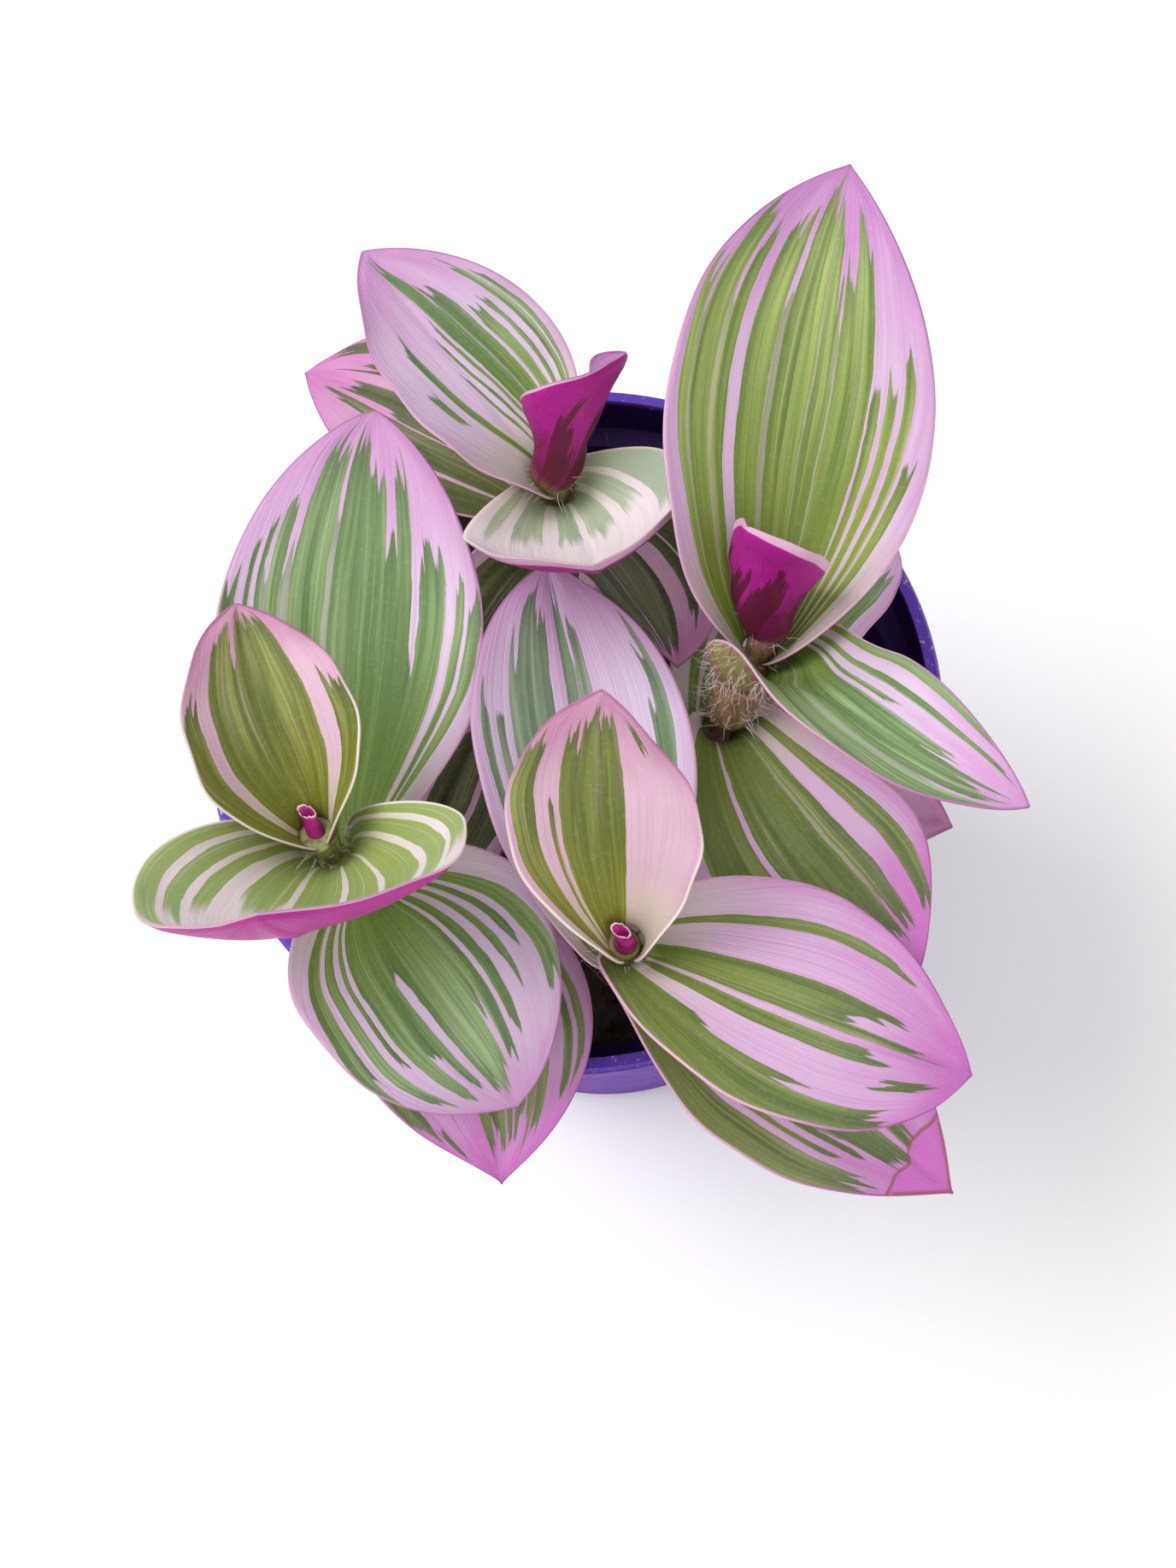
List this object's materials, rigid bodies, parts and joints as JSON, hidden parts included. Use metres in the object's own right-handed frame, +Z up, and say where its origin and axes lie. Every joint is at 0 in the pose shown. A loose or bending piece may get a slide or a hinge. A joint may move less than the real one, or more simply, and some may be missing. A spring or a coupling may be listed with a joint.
{
  "type": "potted tradescantia",
  "caption": "Round nursery pot with a variegated tradescantia: pointed, folded, striped leaves on short upright shoots.",
  "frame": {"origin": "centre of the flat middle of the pot's underside", "axes": "+Z up along the pot's axis, -Y towards the side that the picture looks down from, +X to the right in it"},
  "size_m": [0.1081, 0.1335, 0.1558],
  "materials": {
    "pot_plastic": "thin injection-moulded violet plastic, satin",
    "soil": "dark, damp peat with pale fibres",
    "stem_skin": "fleshy, pinkish brown to yellow-green, with white hairs",
    "leaf_skin": "fleshy blade striped in green, cream and pink above and magenta below, satin"
  },
  "bodies": {
    "root": {"pot": "pot_plastic", "soil": "soil", "stem_west": "stem_skin", "stem_south": "stem_skin", "stem_north": "stem_skin", "stem_east": "stem_skin", "leaf_west_1": "leaf_skin", "leaf_west_2": "leaf_skin", "leaf_west_3": "leaf_skin", "leaf_west_4": "leaf_skin", "leaf_west_5": "leaf_skin", "leaf_west_6": "leaf_skin", "leaf_south_1": "leaf_skin", "leaf_south_2": "leaf_skin", "leaf_south_3": "leaf_skin", "leaf_south_4": "leaf_skin", "leaf_north_1": "leaf_skin", "leaf_north_2": "leaf_skin", "leaf_north_3": "leaf_skin", "leaf_north_4": "leaf_skin", "leaf_north_5": "leaf_skin", "leaf_north_6": "leaf_skin", "leaf_east_1": "leaf_skin", "leaf_east_2": "leaf_skin", "leaf_east_3": "leaf_skin", "leaf_east_4": "leaf_skin", "leaf_east_5": "leaf_skin", "leaf_east_6": "leaf_skin"}
  },
  "joints": []
}
